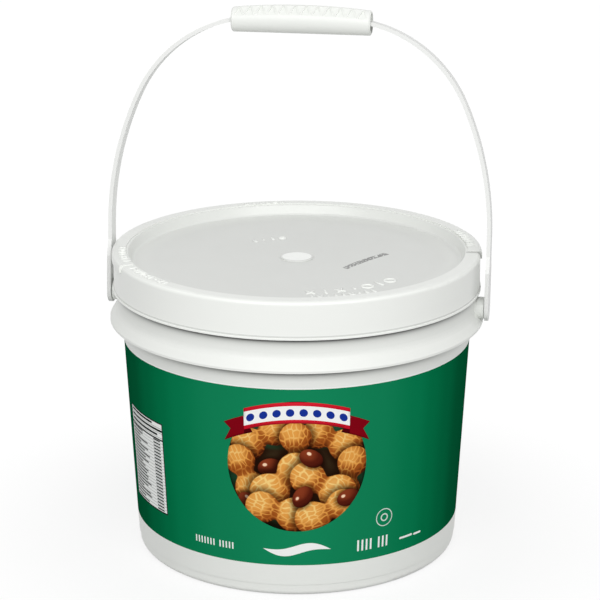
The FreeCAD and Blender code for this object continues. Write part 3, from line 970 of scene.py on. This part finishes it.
    def ribbon_print(self) -> Piece:
        """The ribbon as a thin print over the round picture.

        Returns:
            The print, riding on the container.
        """
        mesh = bmesh.new()
        for side in (-1.0, 1.0):
            tail = (self.tail_inner, self.tail_outer, -self.tail_drop, self.tail_half)
            self.band(mesh, side, *tail)
        self.band(mesh, 1.0, -self.ribbon_reach, self.ribbon_reach, 0.0, self.ribbon_half)
        self.on_wall(mesh, self.RIBBON_LIFT)
        finish = self.finish("ribbon_print", self.ribbon)
        piece = finished_piece("ribbon_print", mesh, finish)
        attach(piece, "container")
        return piece

    def band(
        self, mesh: Mesh, side: float, start: float, end: float, shift: float, half: float
    ) -> None:
        """Adds a stretch of the arched ribbon, flat, in millimetres.

        Args:
            mesh: the mesh that gets it.
            side: 1 towards +s and -1 towards -s.
            start: where it starts along the ribbon.
            end: where it ends; a tail's end is notched.
            shift: how far it lies above the ribbon's middle.
            half: half of its height.
        """
        made = bmesh.ops.create_grid(mesh, x_segments=36, y_segments=8, size=1.0)
        for vert in made["verts"]:
            share, across = (vert.co.x + 1) / 2, vert.co.y * half + shift
            near, far = start, end
            if shift:
                near += (across - shift) * self.fold_slant
                far += abs(across - shift) * self.notch
            along = (near + (far - near) * share) * side
            height = self.ribbon_height + across - along**2 / self.ribbon_arch
            vert.co = Vector((along, height, 0.0))


class MarkKind(Enum):
    """Shapes of the raised marks on the lid, by the sign for each in a row."""

    RING = "o"
    CROSS = "x"
    BAR = "-"
    DOT = "."


@dataclass(frozen=True)
class MarkRow:
    """Marks along an arc of the lid, in millimetres and degrees from +X.

    Attributes:
        radius: radius of the arc.
        start: angle of the first mark.
        step: angle between marks.
        base: height of the surface that they stand on.
        size: height of a mark across the arc.
        signs: the marks in their order.
    """

    radius: float
    start: float
    step: float
    base: float
    size: float
    signs: str


@dataclass(frozen=True)
class LidMarks:
    """The raised marks moulded into the lid's panel and rim, in millimetres.

    Attributes:
        stroke: width of a stroke.
        rise: height above the surface.
        root: depth sunk into the surface.
        lean: angle of a cross's strokes in degrees.
        dot_share: length of a dot as a share of a bar's.
        rounding: rounding of a stroke's top edges as a share of the rise.
    """

    stroke: float = 1.5
    rise: float = 0.6
    root: float = 0.25
    lean: float = 38.0
    dot_share: float = 0.35
    rounding: float = 0.7

    PANEL, RIM, BAND = 218.5, 226.0, 226.8
    ROWS = (
        MarkRow(89.5, -74.0, 7.0, PANEL, 9.5, "x-x.o-o"),
        MarkRow(101.0, -74.0, 3.3, PANEL, 6.5, "-x.--x.--"),
        MarkRow(54.0, 112.0, 8.0, PANEL, 6.0, "o-.-"),
        MarkRow(128.8, -169.0, 2.7, BAND, 6.0, "x-o-x--"),
        MarkRow(128.8, -145.5, 2.5, RIM, 6.0, "-x-ox-.x-"),
        MarkRow(128.8, 105.0, 2.6, BAND, 5.0, "-ox--x"),
        MarkRow(129.0, 11.5, 2.5, BAND, 6.6, "-x--o--x"),
    )

    def build(self, material: Material) -> Piece:
        """One object with every mark.

        Args:
            material: their plastic.

        Returns:
            The marks, riding on the container.
        """
        mesh = bmesh.new()
        for row in self.ROWS:
            for index, sign in enumerate(row.signs):
                self.mark(mesh, row, row.start + index * row.step, MarkKind(sign))
        bmesh.ops.recalc_face_normals(mesh, faces=mesh.faces)
        piece = finished_piece("lid_marks", mesh, material)
        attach(piece, "container")
        return piece

    def mark(self, mesh: Mesh, row: MarkRow, angle: float, kind: MarkKind) -> None:
        """Adds one mark.

        Args:
            mesh: the mesh that gets it.
            row: its row.
            angle: its place along the arc, in degrees.
            kind: its shape.
        """
        middle = Vector((row.radius, 0.0, row.base)) * MM
        place = Matrix.Rotation(math.radians(angle), 4, "Z") @ Matrix.Translation(middle)
        half = row.size / 2
        if kind is MarkKind.RING:
            self.ring(mesh, place, half)
        elif kind is MarkKind.CROSS:
            for lean in (-self.lean, self.lean):
                turned = place @ Matrix.Rotation(math.radians(lean), 4, "Z")
                self.stroke_at(mesh, turned, half)
        elif kind is MarkKind.BAR:
            self.stroke_at(mesh, place, half)
        else:
            self.stroke_at(mesh, place, half * self.dot_share)

    def stroke_at(self, mesh: Mesh, place: Matrix, half: float) -> None:
        """Adds a straight stroke across the arc, with its top edges rounded.

        Args:
            mesh: the mesh that gets it.
            place: its frame.
            half: half of its length in millimetres.
        """
        height = self.rise + self.root
        size = Matrix.Diagonal((2 * half * MM, self.stroke * MM, height * MM, 1.0))
        lift = Matrix.Translation((0.0, 0.0, (self.rise - self.root) / 2 * MM))
        made = bmesh.ops.create_cube(mesh, size=1.0, matrix=place @ lift @ size)
        top = (place @ Vector((0.0, 0.0, self.rise * MM))).z
        edges = {edge for vert in made["verts"] for edge in vert.link_edges}
        upper = [
            edge for edge in edges if all(abs(vert.co.z - top) < 1e-6 for vert in edge.verts)
        ]
        bmesh.ops.bevel(
            mesh,
            geom=upper,
            offset=self.rise * self.rounding * MM,
            affect="EDGES",
            segments=2,
            profile=0.5,
            material=-1,
        )

    def ring(self, mesh: Mesh, place: Matrix, reach: float) -> None:
        """Adds a ring, spun from its round section.

        Args:
            mesh: the mesh that gets it.
            place: its frame.
            reach: its outer radius in millimetres.
        """
        radius = self.stroke / 2
        middle = Matrix.Translation(((reach - radius) * MM, 0.0, 0.0))
        upright = Matrix.Rotation(math.radians(90), 4, "X")
        section = bmesh.ops.create_circle(
            mesh, segments=8, radius=radius * MM, matrix=place @ middle @ upright
        )
        edges = list({edge for vert in section["verts"] for edge in vert.link_edges})
        bmesh.ops.spin(
            mesh,
            geom=section["verts"] + edges,
            cent=place.translation,
            axis=place.to_3x3() @ Vector((0.0, 0.0, 1.0)),
            angle=math.tau,
            steps=24,
            use_merge=True,
        )


def finished_piece(name: str, mesh: Mesh, material: Material) -> Piece:
    """Makes an object at the origin from a mesh whose place is in its points.

    Args:
        name: the piece's name.
        mesh: its mesh, which is freed.
        material: its finish.

    Returns:
        The new object.
    """
    data = bpy.data.meshes.new(name)
    mesh.to_mesh(data)
    mesh.free()
    data.materials.append(material)
    data.shade_smooth()
    piece = bpy.data.objects.new(name, data)
    bpy.context.scene.collection.objects.link(piece)
    return piece


def dress(node: str, material: Material) -> None:
    """Gives a CAD node its finish in place of the plain one.

    Args:
        node: the node's name.
        material: its new material.
    """
    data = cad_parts[node].data
    data.materials.clear()
    data.materials.append(material)


@dataclass
class Container:
    """The pail, its lid and its film: CAD nodes with their finishes.

    Attributes:
        pail_finish: plastic of the pail.
        lid_finish: plastic of the lid.
        mark_finish: plastic of the lid's raised marks.
        gate: radii in millimetres, as all below, at which the gate disc's painted highlight
            ends and is full.
        panel_radius: edge of the lid's sunken panel.
        reflection_radius: where the painted reflection of the recess wall starts, lightening
            the panel towards its edge.
        edge_reflection: how much that painted reflection lightens it.
        mouth_radius: inner edge of the lid's rim.
        rim_edge: height above which the rim lies.
        band_edge: height under which the shade by the rear band lies.
        step_shade: angles from +X between which that shade grows.
        step_depth: its strength.
        line: height and half width of the fine line of painted shade in the corner above the
            lid's bead.
        panel_shade: painted shade of the panel, as a share of the plastic's colour.
        wall_shade: painted shade of the recess wall.
        rim_shade: painted shade of the rim.
        bead_line_shade: share of the plastic's colour that the fine line's painted shade
            leaves.
        crevice_shades: top, fade length and outer radius of the painted shade under the lid and
            under the skirt's lip.
        crevice_span: height above a crevice's top up to which its painted shade stays full.
        gate_highlight: colour of the painted highlight on the gate disc.
        ink: the ink code on the panel.
    """

    pail_finish: PlasticFinish = PlasticFinish(
        "pail_plastic", srgb(234, 236, 232), 0.42, 0.10, 0.02, 0.00005
    )
    lid_finish: PlasticFinish = PlasticFinish(
        "lid_plastic", srgb(240, 242, 238), 0.33, 0.14, 0.06, 0.00004
    )
    mark_finish: PlasticFinish = PlasticFinish(
        "mark_plastic", srgb(242, 244, 240), 0.36, 0.10, 0.02, 0.00003
    )
    gate: Pair = (11.0, 10.6)
    panel_radius: float = 119.0
    reflection_radius: float = 103.0
    edge_reflection: float = 0.06
    mouth_radius: float = 125.0
    rim_edge: float = 225.2
    band_edge: float = 226.4
    step_shade: Pair = (2.8, 5.0)
    step_depth: float = 0.45
    line: Pair = (200.6, 0.6)
    panel_shade: float = 0.79
    wall_shade: float = 0.86
    rim_shade: float = 0.94
    bead_line_shade: float = 0.75
    crevice_shades: tuple[Triple, Triple] = ((197.3, 2.2, 135.2), (172.2, 1.4, 133.0))
    crevice_span: float = 6.0
    gate_highlight: Triple = srgb(250, 252, 249)
    ink: InkCode = InkCode()

    def build(self, surface: Tree) -> None:
        """Dresses the container's nodes and adds the lid's marks."""
        dress("pail", self.pail_material(surface))
        dress("lid", self.lid_material(surface))
        tools, film = PrintTools(), PrintedFilm()
        dress("label", film.finish("printed_film", film.front))
        marks = LidMarks().build(self.mark_finish.build(surface))
        for piece in (film.round_print(tools), film.ribbon_print(), marks):
            LOG.info("%s: %d faces", piece.name, len(piece.data.polygons))

    def pail_material(self, surface: Tree) -> Material:
        """The pail's plastic, with painted shade in the crevice under the lid and in the one
        under the skirt's lip.

        Args:
            surface: the moulded surface group.

        Returns:
            The pail's material.
        """
        material, nodes, shader, colour = self.pail_finish.start(surface)
        place = nodes.scaled(nodes.place(), 1 / MM)
        reach = nodes.measure("LENGTH", nodes.vector("MULTIPLY", place, (1.0, 1.0, 0.0)))
        _, _, up = nodes.split(place)
        # painted shade: darkest at each crevice's top and fading downwards, standing in for the
        # shade under the lid and under the skirt's lip
        for top, fade, outside in self.crevice_shades:
            below = nodes.math("MAXIMUM", top - up, 0.0)
            dark = nodes.math("EXPONENT", below / -fade)
            dark = dark * (reach < outside) * (up < top + self.crevice_span)
            colour = nodes.mix(dark, colour, BLACK)
        nodes.feed(shader.inputs["Base Color"], colour)
        return material

    def lid_material(self, surface: Tree) -> Material:
        """The lid's plastic with painted shade by zone and in a fine line above its bead, a
        painted highlight on its gate disc, and the ink code.

        Args:
            surface: the moulded surface group.

        Returns:
            The lid's material.
        """
        material, nodes, shader, colour = self.lid_finish.start(surface)
        place = nodes.scaled(nodes.place(), 1 / MM)
        flat = nodes.vector("MULTIPLY", place, (1.0, 1.0, 0.0))
        reach = nodes.measure("LENGTH", flat)
        _, _, up = nodes.split(place)
        # painted shade: a fine darker line in the corner above the lid's bead
        line = nodes.math("COMPARE", up, *self.line) * (1.0 - self.bead_line_shade)
        colour = nodes.mix(line, colour, BLACK)
        colour = nodes.scaled(colour, self.lid_shading(nodes, place, reach))
        # painted highlight: the gate disc is whiter than the rest of the lid
        colour = nodes.mix(nodes.between(reach, *self.gate), colour, self.gate_highlight)
        inked = self.ink.mask(nodes, flat, up)
        nodes.feed(shader.inputs["Base Color"], nodes.mix(inked, colour, self.ink.colour))
        return material

    def lid_shading(self, nodes: Nodes, place: Socket, reach: Number) -> Number:
        """Painted shade of the lid's zones, with the painted shade at the front end of the rear
        band.

        Args:
            nodes: the lid material's nodes.
            place: place in millimetres.
            reach: distance from the lid's axis in millimetres.

        Returns:
            The share of the plastic's colour that shows.
        """
        right, back, up = nodes.split(place)
        # painted shade: the rim's top, the recess wall and the panel are darker than the
        # plastic, by how the light falls on them
        tone = nodes.math("MULTIPLY_ADD", up > self.rim_edge, self.rim_shade - 1.0, 1.0)
        zones = ((self.mouth_radius, self.wall_shade), (self.panel_radius, self.panel_shade))
        for limit, level in zones:
            inside = reach < limit
            tone = nodes.math("MULTIPLY_ADD", inside, level - tone, tone)
        # painted reflection: the panel lightens towards its edge as if it mirrored the recess
        # wall
        panel_reflection = nodes.between(reach, self.reflection_radius, self.panel_radius, self.edge_reflection)
        tone = nodes.math("MULTIPLY_ADD", inside, panel_reflection, tone)
        turn = nodes.math("DEGREES", nodes.math("ARCTAN2", back, right))
        step = nodes.between(turn, *self.step_shade) * (turn < self.step_shade[1])
        step = step * (up < self.band_edge) * (reach > self.mouth_radius)
        return nodes.math("MULTIPLY_ADD", step, -self.step_depth, tone)


@dataclass
class Handle:
    """The bail and its grip: CAD nodes with their finishes.

    Attributes:
        bail_finish: plastic of the bail.
        grip_finish: plastic of the grip.
    """

    bail_finish: PlasticFinish = PlasticFinish(
        "bail_plastic", srgb(232, 233, 231), 0.38, 0.12, 0.03, 0.00006
    )
    grip_finish: PlasticFinish = PlasticFinish(
        "grip_plastic", srgb(238, 240, 236), 0.40, 0.10, 0.02, 0.00005
    )

    def build(self, surface: Tree) -> None:
        """Dresses the handle's nodes."""
        dress("bail", self.bail_finish.build(surface))
        dress("grip", self.grip_finish.build(surface))
        LOG.info("handle dressed")


@dataclass
class Studio:
    """Camera, lamp, world and floor.

    Attributes:
        distance: horizontal distance from the pail's axis to the camera, in metres.
        height: the camera's height in metres.
        pitch: how far the camera looks down, in radians.
        yaw: small turn of the camera to the right, in radians.
        lens: focal length in millimetres.
        sensor: width of the camera's sensor in millimetres.
        world_strength: level of the surrounding light.
        key_power: power of the main lamp in watts.
        key_size: width and height of the lamp in metres.
        key_place: how far it stands from the pail's axis and how high, in metres.
        key_aim: height that it points at, in metres.
        floor_size: half of the floor's width in metres.
        floor_rough: roughness of the floor.
        floor_specular: level of the floor's surface reflection.
        floor_tone: reflectance of the floor where it lights the pail.
        floor_shown: share of the floor seen by the camera that takes shadow.
        floor_near: distance from the axis within which the floor keeps its whole shadow.
        floor_far: distance from which the floor shows plain white.
    """

    distance: float = 1.5697
    height: float = 0.6726
    pitch: float = 0.3009
    yaw: float = 0.0015
    lens: float = 132.24
    sensor: float = 36.0
    world_strength: float = 0.65
    key_power: float = 26.5
    key_size: Pair = (3.0, 0.8)
    key_place: Pair = (1.732, 1.2)
    key_aim: float = 0.15
    floor_size: float = 8.0
    floor_rough: float = 0.9
    floor_specular: float = 0.1
    floor_tone: float = 0.4
    floor_shown: float = 0.26
    floor_near: float = 0.15
    floor_far: float = 0.34

    def before(self, far: float, rise: float) -> Vector:
        """Place at a distance before the pail's front and at a height, in metres."""
        return Vector((far * math.sin(FRONT_TURN), -far * math.cos(FRONT_TURN), rise))

    def stand(self, name: str, data: bpy.types.ID, place: Vector, way: Vector) -> Piece:
        """Puts a camera or lamp at a place, looking along a direction.

        Args:
            name: the object's name.
            data: its camera or lamp.
            place: where it stands.
            way: direction that it looks.

        Returns:
            The new object.
        """
        made = bpy.data.objects.new(name, data)
        made.location = place
        made.rotation_mode = "QUATERNION"
        made.rotation_quaternion = way.to_track_quat("-Z", "Y")
        bpy.context.scene.collection.objects.link(made)
        return made

    def camera(self) -> None:
        """Makes the camera and gives it to the scene."""
        data = bpy.data.cameras.new("camera")
        data.sensor_width = self.sensor
        data.lens = self.lens
        heading, level = FRONT_TURN - self.yaw, math.cos(self.pitch)
        across, ahead = -math.sin(heading) * level, math.cos(heading) * level
        way = Vector((across, ahead, -math.sin(self.pitch)))
        place = self.before(self.distance, self.height)
        bpy.context.scene.camera = self.stand("camera", data, place, way)

    def lamp(self) -> None:
        """Adds the wide soft key lamp in front of the pail."""
        data = bpy.data.lights.new("key", "AREA")
        data.shape = "RECTANGLE"
        data.size, data.size_y = self.key_size
        data.energy = self.key_power
        place = self.before(*self.key_place)
        self.stand("key", data, place, Vector((0.0, 0.0, self.key_aim)) - place)

    def world(self) -> None:
        """White surroundings, shown at full white and lighting the pail more softly."""
        world = bpy.data.worlds.new("studio")
        world.use_nodes = True
        nodes = Nodes(world.node_tree)
        shown = self.seen_directly(nodes)
        spare = 1.0 - self.world_strength
        level = nodes.math("MULTIPLY_ADD", shown, spare, self.world_strength)
        background = world.node_tree.nodes["Background"]
        background.inputs["Color"].default_value = (1.0, 1.0, 1.0, 1.0)
        nodes.feed(background.inputs["Strength"], level)
        bpy.context.scene.world = world

    def seen_directly(self, nodes: Nodes) -> Number:
        """1 for a ray from the camera, a reflection or glass, and 0 for one that lights."""
        path = nodes.add("LightPath").outputs
        seen = nodes.math("MAXIMUM", path["Is Camera Ray"], path["Is Transmission Ray"])
        return nodes.math("MAXIMUM", seen, path["Is Glossy Ray"])

    def floor(self) -> None:
        """A pale floor that shows white and keeps the pail's shadow."""
        mesh = bmesh.new()
        bmesh.ops.create_grid(mesh, x_segments=1, y_segments=1, size=self.floor_size)
        material, nodes, shader = new_material("floor")
        shader.inputs["Roughness"].default_value = self.floor_rough
        shader.inputs["Specular IOR Level"].default_value = self.floor_specular
        shown = self.seen_directly(nodes)
        reach = nodes.measure("LENGTH", nodes.place())
        near = nodes.between(reach, self.floor_far, self.floor_near, self.floor_shown)
        kept = (near - self.floor_tone) * shown + self.floor_tone
        nodes.feed(shader.inputs["Base Color"], nodes.joined(kept, kept, kept))
        nodes.feed(shader.inputs["Emission Color"], (1.0, 1.0, 1.0))
        nodes.feed(shader.inputs["Emission Strength"], (1.0 - kept) * shown)
        floor = finished_piece("floor", mesh, material)

    def build(self) -> None:
        """Builds the whole studio."""
        bpy.context.scene.view_settings.view_transform = "Standard"
        self.camera()
        self.lamp()
        self.world()
        self.floor()
        LOG.info("studio built")


def main() -> None:
    """Builds the studio, then dresses the container and the handle."""
    logging.basicConfig(level=logging.INFO, format="%(name)s: %(message)s")
    Studio().build()
    surface = moulded_surface()
    Container().build(surface)
    Handle().build(surface)


if __name__ == "__main__":
    main()
